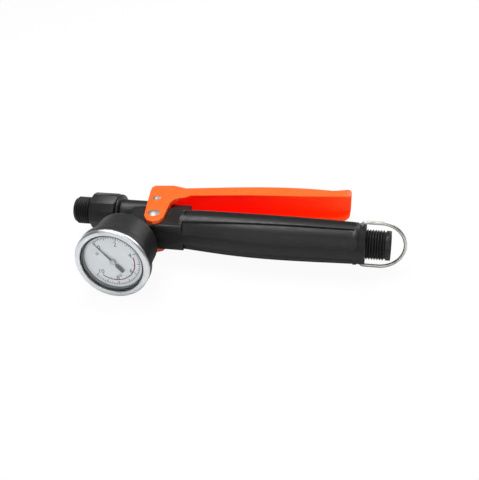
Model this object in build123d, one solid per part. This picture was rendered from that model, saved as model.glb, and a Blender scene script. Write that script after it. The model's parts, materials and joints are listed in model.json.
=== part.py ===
from build123d import *
import math
import os

# Trigger shut-off handle of a pressure sprayer, with a dial gauge.
# Frame: origin at the centre of the hose inlet's end face, +X out of the inlet along the grip,
# +Y towards the lever, +Z to the side that faces up when the handle lies down. Millimetres.

# ---------------------------------------------------------------- clearances
RUNNING_FIT = 0.06        # radial, a pin or stem that turns or slides in its hole
SEATED_FIT = 0.03         # radial, a piece pushed into its seat
SIDE_GAP = 0.3            # flat faces of moving pieces that pass each other
THREAD_FIT = 0.15         # radial, between the crests of one thread and the other's bore

# ---------------------------------------------------------------- threads
PIPE_CREST_R = 10.478     # G 1/2
PIPE_PITCH = 1.814
PIPE_DEPTH = 1.162
GAUGE_CREST_R = 6.578     # G 1/4
GAUGE_PITCH = 1.337
GAUGE_DEPTH = 0.856

# ---------------------------------------------------------------- hose inlet and grip
INLET_LENGTH = 16.9       # end face to collar
INLET_LEAD = 3.3          # plain length ahead of the thread
INLET_LEAD_R = 10.3
COLLAR_R = 14.3
COLLAR_LENGTH = 7.0
# Grip form: (x, height of the centre, radius), from the valve head to the collar.
GRIP_STATIONS = [
    (-149.0, 3.0, 14.2),
    (-124.0, 1.8, 15.3),
    (-98.0, 0.4, 15.9),
    (-70.0, 0.0, 15.9),
    (-41.0, 0.0, 15.3),
    (-22.5, 0.0, 14.8),
]
FLUTE_DEPTH = 1.3
FLUTE_MARGIN = 2.6        # grip left plain at each end of a flute
# Flutes: angles from -Y, (start, end) at the valve head and (start, end) at the collar.
FLUTE_ANGLES = [((19, 54), (16, 72)), ((78, 103), (82, 110))]
REST_START_X = -74.0      # the lever's resting land starts here, level with the grip's top
REST_DROP_X = -15.0
REST_DROP_Y = 8.4
REST_HALF_WIDTH = 13.0
STRAINER_BORE_R = 7.2
STRAINER_BORE_LENGTH = 62.0
STRAINER_R = 5.6
STRAINER_WALL = 1.0
STRAINER_FLANGE_FRONT_X = -6.0
STRAINER_FLANGE_REAR_X = -4.0
STRAINER_END_X = -56.0
STRAINER_END_WALL = 1.2
STRAINER_SLOT_LENGTH = 10.0
STRAINER_SLOT_WIDTH = 1.2
STRAINER_RIB = 1.8        # left between two rows of slots
STRAINER_SLOT_ROWS = 4
STRAINER_RING_REAR_X = -1.6
STRAINER_RING_WIDTH = 1.5
WATERWAY_R = 5.0
WATERWAY_Y = -2.0
FEED_R = 2.2              # passage under the lever pivot
FEED_Y = -6.2

# ---------------------------------------------------------------- valve head
HEAD_HALF_WIDTH = 10.2
HEAD_TOP_Y = 16.4
HEAD_BOTTOM_Y = -10.8
HEAD_EDGE_R = 1.5
OUTLET_Y = 21.3           # axis of the outlet, the valve stem and its spring
NECK_R = 10.2
NECK_REAR_X = -177.5
NECK_FLANGE_R = 14.0
NECK_FLANGE_REAR_X = -200.9
NECK_FLANGE_THICK = 2.4
NECK_GROOVE = 0.5
NECK_SPIGOT_R = 9.4
NECK_SPIGOT_LENGTH = 10.5
POST_THICK = 3.6          # wall behind the return spring
POST_HALF_WIDTH = 7.0
POST_TOP_Y = 26.5
GUARD_WALL = 1.8          # walls beside the spring, in one with the post
GUARD_FRONT_X = -163.5
OUTLET_BORE_R = 4.0
SEAT_X = -197.0
SEAT_THICK = 2.0
SEAT_BORE_R = 3.4
CHAMBER_R = 6.2
RISER_X = -189.0
RISER_R = 1.8

# ---------------------------------------------------------------- outlet adapter
ADAPTER_THREAD_LENGTH = 14.0
ADAPTER_HEX_LENGTH = 20.9
ADAPTER_CORNER_R = 14.4
ADAPTER_HEX_TURN = 42.0   # one corner's angle from -Y
ADAPTER_BEVEL_TURN = 13.0 # each corner is bevelled this far to both sides
ADAPTER_BORE_R = 5.5
HEX_CHAMFER = 1.2
ORING_WIRE_R = 0.9

# ---------------------------------------------------------------- valve stem
STEM_R = 2.5
STEM_EYE_HALF_THICK = 3.0
STEM_EYE_REACH = 4.6      # eye, ahead of and behind the pin
STEM_EYE_LOW_Y = 17.6
STEM_EYE_TOP_Y = 29.0
STEM_SLOT_PLAY = 1.1      # the pin's rise and fall in the slot, each way
STEM_HEAD_R = 4.8
STEM_HEAD_THICK = 1.0
DISC_R = 5.2
DISC_THICK = 1.6
GLAND_LENGTH = 4.0
GLAND_R = 7.0
GLAND_SLOT_WIDTH = 1.6
GLAND_SLOT_DEPTH = 1.2
BUSH_LIP = 0.8
SPRING_R = 3.7            # to the middle of the wire
SPRING_WIRE_R = 0.5
SPRING_TURNS = 6.5
SPRING_NUB_R = 2.8
SPRING_NUB_LENGTH = 2.2
SPRING_SEAT_THICK = 1.0

# ---------------------------------------------------------------- lever
PIVOT_X = -169.4
PIVOT_Y = 1.6
PIVOT_R = 2.5
PIVOT_HEAD_R = 4.6
PIVOT_HEAD_HEIGHT = 1.5
LINK_PIN_X = -174.2
LINK_PIN_Y = 24.2
LINK_PIN_R = 1.6
LINK_PIN_HEAD_R = 3.1
LINK_PIN_HEAD_HEIGHT = 1.3
CHEEK_WALL = 2.6
ARM_HALF_WIDTH = 10.5
ARM_WALL = 2.1
JOGGLE_START_X = -158.4   # at the pivot's height, the cheeks narrow to the arm between these
JOGGLE_END_X = -149.0
JOGGLE_LEAN = 0.19        # the joggle leans forward by this much for each mm up
TIP_CORNER_R = 3.0
PLAN_DROP = 20.0          # the plan outlines start this far under the pivot
# Back of the lever, from the front edge of the cheeks to the tip.
LEVER_BACK = [(-181.4, 44.0), (-165.7, 45.9), (-154.2, 47.8), (-107.9, 55.3), (-69.2, 58.2), (-46.2, 57.2)]
LEVER_TIP = [(-38.0, 58.6), (-29.9, 61.2)]
# Lower edge, from the tip forward and down round the cheek to its front edge.
LEVER_EDGE = [
    (-30.3, 52.6), (-33.8, 48.6), (-46.8, 47.2), (-67.6, 45.0), (-105.4, 42.1), (-151.0, 35.9),
    (-155.2, 31.6), (-158.5, 28.4), (-160.9, 23.8), (-162.1, 17.2), (-160.8, -3.8), (-162.4, -8.4),
    (-166.6, -10.6), (-171.8, -8.6), (-175.4, -2.8), (-182.4, 34.2), (-183.0, 40.5),
]

# ---------------------------------------------------------------- lock loop
LOOP_PIVOT_X = -20.0
LOOP_WIRE_R = 1.2
LOOP_HALF_WIDTH = 17.3    # to the middle of the wire
LOOP_REACH = 29.8         # pivot to the middle of the bow's wire
LOOP_BEND_R = 2.4
LOOP_PIN_DEPTH = 3.6      # wire end inside the collar

# ---------------------------------------------------------------- gauge
GAUGE_X = -184.9
BOSS_R = 9.8
BOSS_END_Y = -14.5
SOCKET_THREAD_LENGTH = 6.5
SOCKET_WELL = 6.0         # room over the socket's end for the passages
SOCKET_SQUARE = 13.5
CASE_BACK_Y = -17.2
CASE_BACK_R = 23.3
CASE_FRONT_R = 24.4
CASE_FRONT_Y = -46.6
CASE_WALL = 1.6
CASE_CORNER_R = 3.0
BEZEL_FRONT_Y = -49.7
BEZEL_R = 26.6
BEZEL_WIDTH = 8.4
BEZEL_LIP = 0.9
BEZEL_LIP_R = 22.6
LENS_THICK = 1.8
DIAL_FRONT_Y = -44.4
DIAL_THICK = 0.8
DIAL_R = 21.9
DIAL_HOLE_R = 1.6
GASKET_WIDTH = 0.9
POINTER_ANGLE = 132.0     # from +X towards +Z, at no pressure
POINTER_LENGTH = 19.2
POINTER_TAIL = 10.0
POINTER_TIP_HALF = 0.12
POINTER_WAIST_HALF = 0.75
POINTER_TAIL_HALF = 1.55
POINTER_THICK = 0.4
POINTER_LIFT = 0.9        # over the dial
POINTER_HUB_R = 2.3
ARBOR_R = 0.6

# ---------------------------------------------------------------- gauge movement
GEAR_MODULE = 0.3
PINION_TEETH = 10
SECTOR_TEETH_ROUND = 60   # teeth on a full wheel of the sector's size
SECTOR_TEETH = 14
SECTOR_START = -24.0      # turn of the sector's middle from the line of centres, at rest; whole teeth
TOOTH_FILL = 0.40         # tooth's share of the pitch on the pitch circle
SECTOR_DIRECTION = 130.0   # line of centres, from +X towards +Z
GEAR_FRONT_Y = -38.6
SECTOR_THICK = 0.8
PINION_WIDTH = 1.8
PLATE_FRONT_Y = -41.4
PLATE_BACK_Y = -33.6
PLATE_THICK = 1.0
PLATE_R = 14.0
PLATE_HALF_WIDTH = 6.5
PILLAR_R = 1.2
PILLARS = [(-10.0, 0.0), (11.9, -4.6)]       # along and across the plates
DIAL_SCREWS = [(-11.0, 4.4), (11.0, 5.2)]
SCREW_R = 0.6
TAIL_REACH = 3.2
LINK_THICK = 0.5
LINK_GAP = 0.3
LINK_EYE_R = 1.0
SMALL_PIN_R = 0.5
TUBE_R = 17.6             # bourdon tube, to the middle of its section
TUBE_THICK = 1.6
TUBE_WIDTH = 6.5
TUBE_FRONT_Y = -38.0
TUBE_SWEEP = 232.0
TUBE_START = -25.0       # angle at the socket arm, from +X towards +Z
HAIRSPRING_TURNS = 4
HAIRSPRING_PITCH = 0.75
HAIRSPRING_WIRE = 0.3

# ---------------------------------------------------------------- sizes that follow
CHEEK_HALF_WIDTH = max(HEAD_HALF_WIDTH, NECK_R) + SIDE_GAP + CHEEK_WALL
COLLAR_FRONT_X = -INLET_LENGTH - COLLAR_LENGTH
FLANGE_FRONT_X = NECK_FLANGE_REAR_X - NECK_FLANGE_THICK
SPIGOT_REAR_X = FLANGE_FRONT_X - NECK_GROOVE
SPIGOT_FRONT_X = SPIGOT_REAR_X - NECK_SPIGOT_LENGTH
HEX_FRONT_X = SPIGOT_REAR_X - ADAPTER_HEX_LENGTH
OUTLET_END_X = HEX_FRONT_X - ADAPTER_THREAD_LENGTH
GRIP_FRONT_X = GRIP_STATIONS[0][0]
POST_FRONT_X = GRIP_FRONT_X - POST_THICK + 0.6
GLAND_FRONT_X = NECK_REAR_X - GLAND_LENGTH
BUSH_LENGTH = BUSH_LIP + 4 * ORING_WIRE_R + 0.1
BUSH_FRONT_X = GLAND_FRONT_X - BUSH_LENGTH
DISC_FRONT_X = SEAT_X + SEAT_THICK
STEM_FRONT_X = DISC_FRONT_X + DISC_THICK
SPRING_FRONT_X = LINK_PIN_X + STEM_EYE_REACH + 2.6 + SPRING_SEAT_THICK
SPRING_REAR_X = POST_FRONT_X - SPRING_SEAT_THICK
LENS_FRONT_Y = BEZEL_FRONT_Y + BEZEL_LIP
LENS_BACK_Y = LENS_FRONT_Y + LENS_THICK
DIAL_BACK_Y = DIAL_FRONT_Y + DIAL_THICK
SECTOR_PITCH_R = GEAR_MODULE * SECTOR_TEETH_ROUND / 2
PINION_PITCH_R = GEAR_MODULE * PINION_TEETH / 2
GEAR_CENTRES = SECTOR_PITCH_R + PINION_PITCH_R
SOCKET_END_Y = BOSS_END_Y + SOCKET_THREAD_LENGTH

PARTS = {}


# ---------------------------------------------------------------- helpers
def rod_x(x0, x1, r, y=0.0, z=0.0):
    return Pos((x0 + x1) / 2, y, z) * Rot(0, 90, 0) * Cylinder(r, abs(x1 - x0))


def rod_y(y0, y1, r, x=GAUGE_X, z=0.0):
    return Pos(x, (y0 + y1) / 2, z) * Rot(90, 0, 0) * Cylinder(r, abs(y1 - y0))


def rod_z(z0, z1, r, x, y):
    return Pos(x, y, (z0 + z1) / 2) * Cylinder(r, abs(z1 - z0))


def block(x0, x1, y0, y1, z0, z1):
    centre = Pos((x0 + x1) / 2, (y0 + y1) / 2, (z0 + z1) / 2)
    return centre * Box(abs(x1 - x0), abs(y1 - y0), abs(z1 - z0))


def turned_x(outline, axis_y=0.0):
    """Turn (x, radius) points about a line along X."""
    corners = [(x, axis_y + r) for x, r in outline]
    face = make_face(Polyline(*corners, close=True))
    return revolve(face, Axis((0, axis_y, 0), (1, 0, 0)))


def turned_y(outline):
    """Turn (y, radius) points about the gauge's axis."""
    corners = [(GAUGE_X + r, y) for y, r in outline]
    face = make_face(Polyline(*corners, close=True))
    return revolve(face, Axis((GAUGE_X, 0, 0), (0, 1, 0)))


def ridges(start, end, crest, pitch, depth):
    """Crest and root points of a thread from start to end, as (position, radius)."""
    step = math.copysign(pitch, end - start)
    points = []
    for turn in range(int(abs(end - start) / pitch)):
        foot = start + turn * step
        points.append((foot, crest - depth))
        points.append((foot + 0.40 * step, crest))
        points.append((foot + 0.60 * step, crest))
        points.append((foot + step, crest - depth))
    return [p for i, p in enumerate(points) if i == 0 or p != points[i - 1]]


def merged(points):
    """Drop a point that repeats the one before it."""
    kept = points[:1]
    for p in points[1:]:
        if math.dist(p, kept[-1]) > 0.001:
            kept.append(p)
    return kept


def dial_plate(outline, y_front, thick, turn=0.0, centre=(0.0, 0.0)):
    """Flat piece parallel to the dial; outline in (x, z) about centre, turned from +X to +Z."""
    plane = Plane(origin=(GAUGE_X, y_front + thick, 0), x_dir=(1, 0, 0), z_dir=(0, -1, 0))
    return extrude(plane * Pos(centre[0], centre[1]) * Rot(0, 0, turn) * outline, thick)


def ring_y(y0, y1, outer, inner):
    return rod_y(y0, y1, outer) - rod_y(y0 - 1, y1 + 1, inner)


# ---------------------------------------------------------------- grip and valve body
def grip_form(grow):
    sections = [
        Plane(origin=(x, y, 0), x_dir=(0, 1, 0), z_dir=(1, 0, 0)) * Circle(r + grow)
        for x, y, r in GRIP_STATIONS
    ]
    return loft(sections)


def flute_wedge(front_angles, rear_angles, side):
    """Wedge that spans a flute's angles, from the grip's middle line out."""
    reach = 2 * GRIP_STATIONS[2][2]
    ends = (
        (GRIP_STATIONS[0], FLUTE_MARGIN, front_angles),
        (GRIP_STATIONS[-1], -FLUTE_MARGIN, rear_angles),
    )
    sections = []
    for (x, centre_y, _), inset, angles in ends:
        corners = [(0.0, 0.0)]
        for angle in angles:
            turn = math.radians(angle)
            corners.append((-reach * math.cos(turn), side * reach * math.sin(turn)))
        plane = Plane(origin=(x + inset, centre_y, 0), x_dir=(0, 1, 0), z_dir=(1, 0, 0))
        sections.append(plane * make_face(Polyline(*corners, close=True)))
    return loft(sections, ruled=True)


def make_grip_body():
    skin = grip_form(2.0) - grip_form(-FLUTE_DEPTH)
    body = grip_form(0)
    for front_angles, rear_angles in FLUTE_ANGLES:
        for side in (1, -1):
            body -= skin & flute_wedge(front_angles, rear_angles, side)

    thread = ridges(-INLET_LENGTH, -INLET_LEAD, PIPE_CREST_R, PIPE_PITCH, PIPE_DEPTH)
    grip_rear_x = GRIP_STATIONS[-1][0]
    body += turned_x(merged([
        (grip_rear_x - 1, 0), (grip_rear_x - 1, COLLAR_R - 1), (COLLAR_FRONT_X + 1, COLLAR_R),
        (-INLET_LENGTH - 0.8, COLLAR_R), (-INLET_LENGTH, COLLAR_R - 0.8),
        (-INLET_LENGTH, PIPE_CREST_R - PIPE_DEPTH), *thread,
        (-INLET_LEAD, PIPE_CREST_R - PIPE_DEPTH), (-INLET_LEAD, INLET_LEAD_R), (0, INLET_LEAD_R), (0, 0),
    ]))

    head = block(GAUGE_X, GRIP_FRONT_X + 3, HEAD_BOTTOM_Y, HEAD_TOP_Y, -HEAD_HALF_WIDTH, HEAD_HALF_WIDTH)
    body += fillet(head.edges().filter_by(Axis.X), HEAD_EDGE_R)
    body += rod_y(BOSS_END_Y, HEAD_TOP_Y - HEAD_EDGE_R, BOSS_R)
    foot_y = HEAD_TOP_Y - 3
    body += block(POST_FRONT_X, GRIP_FRONT_X + 1, foot_y, POST_TOP_Y, -POST_HALF_WIDTH, POST_HALF_WIDTH)
    for side in (1, -1):
        wall_z = side * (POST_HALF_WIDTH - GUARD_WALL)
        body += block(GUARD_FRONT_X, GRIP_FRONT_X, foot_y, POST_TOP_Y, wall_z, side * POST_HALF_WIDTH)

    spigot = ridges(SPIGOT_REAR_X, SPIGOT_FRONT_X + 1, NECK_SPIGOT_R, PIPE_PITCH, PIPE_DEPTH)
    neck_root_r = NECK_SPIGOT_R - PIPE_DEPTH
    body += turned_x(merged([
        (NECK_REAR_X, 0), (NECK_REAR_X, NECK_R - 0.6), (NECK_REAR_X - 0.6, NECK_R),
        (NECK_FLANGE_REAR_X, NECK_R), (NECK_FLANGE_REAR_X, NECK_FLANGE_R - 1.6),
        (NECK_FLANGE_REAR_X - 0.5, NECK_FLANGE_R - 0.5), (NECK_FLANGE_REAR_X - 1.6, NECK_FLANGE_R),
        (FLANGE_FRONT_X + 0.5, NECK_FLANGE_R), (FLANGE_FRONT_X, NECK_FLANGE_R - 0.5),
        (FLANGE_FRONT_X, neck_root_r), *spigot, (SPIGOT_FRONT_X, neck_root_r), (SPIGOT_FRONT_X, 0),
    ]), OUTLET_Y)

    # The land that the squeezed lever's tip comes down to.
    top = GRIP_STATIONS[3][2] + 1
    land = Polyline(
        (REST_START_X, top), (REST_START_X, top - 1), (REST_DROP_X, REST_DROP_Y), (REST_DROP_X, top), close=True)
    land_cut = extrude(make_face(land), REST_HALF_WIDTH, both=True)
    body -= land_cut & block(REST_START_X, -INLET_LENGTH, 0, top, -REST_HALF_WIDTH, REST_HALF_WIDTH)

    # Waterway: strainer bore, grip bore, feed under the pivot, gauge well, riser, valve chamber, outlet.
    body -= rod_x(-STRAINER_BORE_LENGTH, 1, STRAINER_BORE_R)
    body -= rod_x(GRIP_FRONT_X, -STRAINER_BORE_LENGTH + 1, WATERWAY_R, WATERWAY_Y)
    body -= rod_x(GAUGE_X, GRIP_FRONT_X + 2, FEED_R, FEED_Y)
    body -= rod_y(BOSS_END_Y - 1, SOCKET_END_Y + SOCKET_WELL, GAUGE_CREST_R + THREAD_FIT)
    body -= rod_y(SOCKET_END_Y, OUTLET_Y, RISER_R, RISER_X)
    body -= rod_x(SPIGOT_FRONT_X - 1, SEAT_X + 1, OUTLET_BORE_R, OUTLET_Y)
    body -= rod_x(SEAT_X, NECK_REAR_X, CHAMBER_R, OUTLET_Y)
    body -= rod_x(GLAND_FRONT_X, NECK_REAR_X + 1, GLAND_R + SEATED_FIT, OUTLET_Y)

    # Pivot hole, and the blind holes that hold the lock loop.
    body -= rod_z(-HEAD_HALF_WIDTH - 1, HEAD_HALF_WIDTH + 1, PIVOT_R + RUNNING_FIT, PIVOT_X, PIVOT_Y)
    for side in (1, -1):
        inner = side * (COLLAR_R - LOOP_PIN_DEPTH - SIDE_GAP)
        body -= rod_z(inner, side * (COLLAR_R + 2), LOOP_WIRE_R + RUNNING_FIT, LOOP_PIVOT_X, 0)
    PARTS["grip_body"] = body


def make_strainer():
    flange_r = STRAINER_BORE_R - SEATED_FIT
    bore_r = STRAINER_R - STRAINER_WALL
    floor_x = STRAINER_END_X + STRAINER_END_WALL
    strainer = turned_x([
        (STRAINER_FLANGE_REAR_X, bore_r), (STRAINER_FLANGE_REAR_X, flange_r),
        (STRAINER_FLANGE_FRONT_X, flange_r), (STRAINER_FLANGE_FRONT_X, STRAINER_R),
        (STRAINER_END_X, STRAINER_R), (STRAINER_END_X, 0), (floor_x, 0), (floor_x, bore_r),
    ])
    half_slot = STRAINER_SLOT_WIDTH / 2
    deep = STRAINER_R + 1
    for row in range(STRAINER_SLOT_ROWS):
        slot_x = floor_x + 2.0 + row * (STRAINER_SLOT_LENGTH + STRAINER_RIB)
        slot = block(slot_x, slot_x + STRAINER_SLOT_LENGTH, -half_slot, half_slot, -deep, deep)
        for side in range(4):
            strainer -= Rot(side * 45, 0, 0) * slot
    PARTS["inlet_strainer"] = strainer
    ring = rod_x(STRAINER_FLANGE_REAR_X, STRAINER_RING_REAR_X, flange_r)
    ring -= rod_x(STRAINER_FLANGE_REAR_X - 1, 0, STRAINER_BORE_R - STRAINER_RING_WIDTH)
    PARTS["strainer_ring"] = ring


# ---------------------------------------------------------------- outlet
def make_outlet():
    plane = Plane(origin=(HEX_FRONT_X, OUTLET_Y, 0), x_dir=(0, -1, 0), z_dir=(1, 0, 0))
    corners = []
    for corner in range(6):
        for bevel in (-ADAPTER_BEVEL_TURN, ADAPTER_BEVEL_TURN):
            turn = math.radians(60 * corner - ADAPTER_HEX_TURN + bevel)
            corners.append((ADAPTER_CORNER_R * math.cos(turn), ADAPTER_CORNER_R * math.sin(turn)))
    nut = extrude(plane * make_face(Polyline(*corners, close=True)), ADAPTER_HEX_LENGTH)
    chamfered = turned_x([
        (HEX_FRONT_X, 0), (HEX_FRONT_X, ADAPTER_CORNER_R - HEX_CHAMFER - 0.5),
        (HEX_FRONT_X + HEX_CHAMFER, ADAPTER_CORNER_R), (SPIGOT_REAR_X - HEX_CHAMFER, ADAPTER_CORNER_R),
        (SPIGOT_REAR_X, ADAPTER_CORNER_R - HEX_CHAMFER), (SPIGOT_REAR_X, 0),
    ], OUTLET_Y)
    root_r = PIPE_CREST_R - PIPE_DEPTH
    thread = ridges(HEX_FRONT_X, OUTLET_END_X, PIPE_CREST_R, PIPE_PITCH, PIPE_DEPTH)
    nipple = turned_x(merged([
        (HEX_FRONT_X + 1, 0), (HEX_FRONT_X + 1, root_r), *thread,
        (OUTLET_END_X, root_r - 0.1), (OUTLET_END_X, 0),
    ]), OUTLET_Y)
    adapter = (nut & chamfered) + nipple
    adapter -= rod_x(OUTLET_END_X - 1, SPIGOT_REAR_X, ADAPTER_BORE_R, OUTLET_Y)
    socket_front_x = SPIGOT_FRONT_X - 2 * ORING_WIRE_R
    adapter -= rod_x(socket_front_x, SPIGOT_REAR_X + 1, NECK_SPIGOT_R + THREAD_FIT, OUTLET_Y)
    PARTS["outlet_adapter"] = adapter

    seal_x = SPIGOT_FRONT_X - ORING_WIRE_R
    seal_plane = Plane(origin=(seal_x, OUTLET_Y, 0), z_dir=(1, 0, 0))
    PARTS["outlet_o_ring"] = seal_plane * Torus(ADAPTER_BORE_R + 1.6, ORING_WIRE_R)


# ---------------------------------------------------------------- valve
def make_valve():
    seat = rod_x(SEAT_X, DISC_FRONT_X, CHAMBER_R - SEATED_FIT, OUTLET_Y)
    PARTS["valve_seat"] = seat - rod_x(SEAT_X - 1, DISC_FRONT_X + 1, SEAT_BORE_R, OUTLET_Y)
    PARTS["valve_disc"] = rod_x(DISC_FRONT_X, STEM_FRONT_X, DISC_R, OUTLET_Y)

    eye_front_x = LINK_PIN_X - STEM_EYE_REACH + 1.8
    eye_rear_x = LINK_PIN_X + STEM_EYE_REACH
    stem = turned_x([
        (STEM_FRONT_X, 0), (STEM_FRONT_X, STEM_HEAD_R), (STEM_FRONT_X + STEM_HEAD_THICK, STEM_HEAD_R),
        (STEM_FRONT_X + STEM_HEAD_THICK, STEM_R), (eye_front_x + 1, STEM_R), (eye_front_x + 1, 0),
    ], OUTLET_Y)
    eye = block(eye_front_x, eye_rear_x, STEM_EYE_LOW_Y, STEM_EYE_TOP_Y,
                -STEM_EYE_HALF_THICK, STEM_EYE_HALF_THICK)
    eye = fillet(eye.edges().filter_by(Axis.Z), 1.4)
    stem += eye
    seat_front_x = SPRING_FRONT_X - SPRING_SEAT_THICK
    stem += turned_x([
        (eye_rear_x - 1, 0), (eye_rear_x - 1, STEM_R), (seat_front_x, STEM_R),
        (seat_front_x, SPRING_R + SPRING_WIRE_R), (SPRING_FRONT_X, SPRING_R + SPRING_WIRE_R),
        (SPRING_FRONT_X, SPRING_NUB_R), (SPRING_FRONT_X + SPRING_NUB_LENGTH, SPRING_NUB_R),
        (SPRING_FRONT_X + SPRING_NUB_LENGTH, 0),
    ], OUTLET_Y)
    slot_r = LINK_PIN_R + RUNNING_FIT
    deep = STEM_EYE_HALF_THICK + 1
    stem -= block(LINK_PIN_X - slot_r, LINK_PIN_X + slot_r, LINK_PIN_Y - STEM_SLOT_PLAY,
                  LINK_PIN_Y + STEM_SLOT_PLAY, -deep, deep)
    for play in (STEM_SLOT_PLAY, -STEM_SLOT_PLAY):
        stem -= rod_z(-deep, deep, slot_r, LINK_PIN_X, LINK_PIN_Y + play)
    PARTS["valve_stem"] = stem

    bush = rod_x(BUSH_FRONT_X, GLAND_FRONT_X, CHAMBER_R - SEATED_FIT, OUTLET_Y)
    bush -= rod_x(BUSH_FRONT_X - 1, GLAND_FRONT_X, STEM_R + RUNNING_FIT, OUTLET_Y)
    ring_outer_r = STEM_R + 2 * ORING_WIRE_R + 2 * SEATED_FIT
    bush -= rod_x(BUSH_FRONT_X + BUSH_LIP, GLAND_FRONT_X + 1, ring_outer_r + SEATED_FIT, OUTLET_Y)
    PARTS["seal_bush"] = bush
    rings = []
    for place in (1, 3):
        x = BUSH_FRONT_X + BUSH_LIP + place * (ORING_WIRE_R + 0.02)
        ring_plane = Plane(origin=(x, OUTLET_Y, 0), z_dir=(1, 0, 0))
        rings.append(ring_plane * Torus(STEM_R + ORING_WIRE_R + SEATED_FIT, ORING_WIRE_R))
    PARTS["stem_o_rings"] = Compound(rings)

    gland = rod_x(GLAND_FRONT_X, NECK_REAR_X, GLAND_R, OUTLET_Y)
    gland -= rod_x(GLAND_FRONT_X - 1, NECK_REAR_X + 1, STEM_R + RUNNING_FIT, OUTLET_Y)
    slot_y = GLAND_SLOT_WIDTH / 2
    gland -= block(NECK_REAR_X - GLAND_SLOT_DEPTH, NECK_REAR_X + 1, OUTLET_Y - slot_y, OUTLET_Y + slot_y,
                   -GLAND_R - 1, GLAND_R + 1)
    PARTS["gland_nut"] = gland

    cap = rod_x(SPRING_REAR_X, POST_FRONT_X, SPRING_R + SPRING_WIRE_R, OUTLET_Y)
    cap += rod_x(SPRING_REAR_X - SPRING_NUB_LENGTH, SPRING_REAR_X, SPRING_NUB_R, OUTLET_Y)
    PARTS["spring_cap"] = cap
    wire_start = SPRING_FRONT_X + SPRING_WIRE_R + SEATED_FIT
    height = SPRING_REAR_X - SPRING_WIRE_R - SEATED_FIT - wire_start
    start = (wire_start, OUTLET_Y, 0)
    coil = Helix(height / SPRING_TURNS, height, SPRING_R, center=start, direction=(1, 0, 0))
    section = Plane(coil @ 0, z_dir=coil % 0) * Circle(SPRING_WIRE_R)
    PARTS["return_spring"] = sweep(section, path=coil)


# ---------------------------------------------------------------- lever and its rivets
def plan_outline(front_half, arm_half):
    """The lever seen along Y: wide at the cheeks, narrow along the arm, with a joggle that leans forward."""
    front_x = LEVER_EDGE[-1][0]
    side = [(front_x, front_half), (JOGGLE_START_X, front_half), (JOGGLE_END_X, arm_half), (0, arm_half)]
    points = side + [(x, -z) for x, z in reversed(side)]
    plane = Plane(origin=(JOGGLE_LEAN * PLAN_DROP, PIVOT_Y - PLAN_DROP, 0), x_dir=(1, 0, 0), z_dir=(0, 1, 0))
    face = plane * make_face(Polyline(*points, close=True))
    return extrude(face, 5 * PLAN_DROP, dir=(-JOGGLE_LEAN, 1, 0))


def tip_outline(tip_x):
    """The arm seen along Y, with its two tip corners cut."""
    half = CHEEK_HALF_WIDTH + 1
    side = [(LEVER_EDGE[-1][0] - PLAN_DROP, half), (tip_x - 2 * TIP_CORNER_R, half),
            (tip_x - 2 * TIP_CORNER_R, ARM_HALF_WIDTH), (tip_x - TIP_CORNER_R, ARM_HALF_WIDTH),
            (tip_x - 0.3 * TIP_CORNER_R, ARM_HALF_WIDTH - 0.3 * TIP_CORNER_R),
            (tip_x, ARM_HALF_WIDTH - TIP_CORNER_R)]
    points = side + [(x, -z) for x, z in reversed(side)]
    plane = Plane(origin=(0, PIVOT_Y - PLAN_DROP, 0), x_dir=(1, 0, 0), z_dir=(0, 1, 0))
    return extrude(plane * make_face(Polyline(*points, close=True)), 5 * PLAN_DROP)


def lever_back(drop):
    """The back's outline, lowered by a wall's thickness."""
    back = [(x, y - drop) for x, y in LEVER_BACK]
    tip = [(x, y - drop) for x, y in LEVER_TIP]
    run = Spline(*back)
    return [run, Spline(back[-1], *tip, tangents=[run % 1, Vector(*tip[-1]) - Vector(*tip[-2])])]


def make_lever():
    tip_x = LEVER_TIP[-1][0]
    edge = Polyline(LEVER_TIP[-1], *LEVER_EDGE, LEVER_BACK[0])
    side_face = make_face(lever_back(0) + [edge])
    outer = extrude(side_face, CHEEK_HALF_WIDTH, both=True)
    outer &= plan_outline(CHEEK_HALF_WIDTH, ARM_HALF_WIDTH)
    outer &= tip_outline(tip_x + 0.1)

    low_y = LEVER_EDGE[12][1] - 10
    start = (LEVER_BACK[0][0], LEVER_BACK[0][1] - ARM_WALL)
    end = (LEVER_TIP[-1][0], LEVER_TIP[-1][1] - ARM_WALL)
    below = Polyline(end, (tip_x + 5, end[1] + 1), (tip_x + 5, low_y), (LEVER_EDGE[-1][0] - 5, low_y),
                     (LEVER_EDGE[-1][0] - 5, start[1] - 0.6), start)
    hollow = extrude(make_face(lever_back(ARM_WALL) + [below]), CHEEK_HALF_WIDTH, both=True)
    inner_cheek = CHEEK_HALF_WIDTH - CHEEK_WALL
    hollow &= plan_outline(inner_cheek, ARM_HALF_WIDTH - ARM_WALL)
    lever = outer - hollow

    deep = CHEEK_HALF_WIDTH + 1
    lever -= rod_z(-deep, deep, PIVOT_R + SEATED_FIT, PIVOT_X, PIVOT_Y)
    lever -= rod_z(-deep, deep, LINK_PIN_R + SEATED_FIT, LINK_PIN_X, LINK_PIN_Y)
    PARTS["lever"] = lever
    PARTS["pivot_rivet"] = rivet(PIVOT_X, PIVOT_Y, PIVOT_R, PIVOT_HEAD_R, PIVOT_HEAD_HEIGHT)
    PARTS["stem_rivet"] = rivet(LINK_PIN_X, LINK_PIN_Y, LINK_PIN_R, LINK_PIN_HEAD_R, LINK_PIN_HEAD_HEIGHT)


def rivet(x, y, shank_r, head_r, head_height):
    """Shank across both cheeks with a low domed head on each."""
    pin = rod_z(-CHEEK_HALF_WIDTH, CHEEK_HALF_WIDTH, shank_r, x, y)
    ball_r = (head_r ** 2 + head_height ** 2) / (2 * head_height)
    for side in (1, -1):
        face_z = side * CHEEK_HALF_WIDTH
        ball = Pos(x, y, face_z + side * (head_height - ball_r)) * Sphere(ball_r)
        pin += ball & rod_z(face_z, face_z + side * head_height, head_r, x, y)
    return pin


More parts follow.
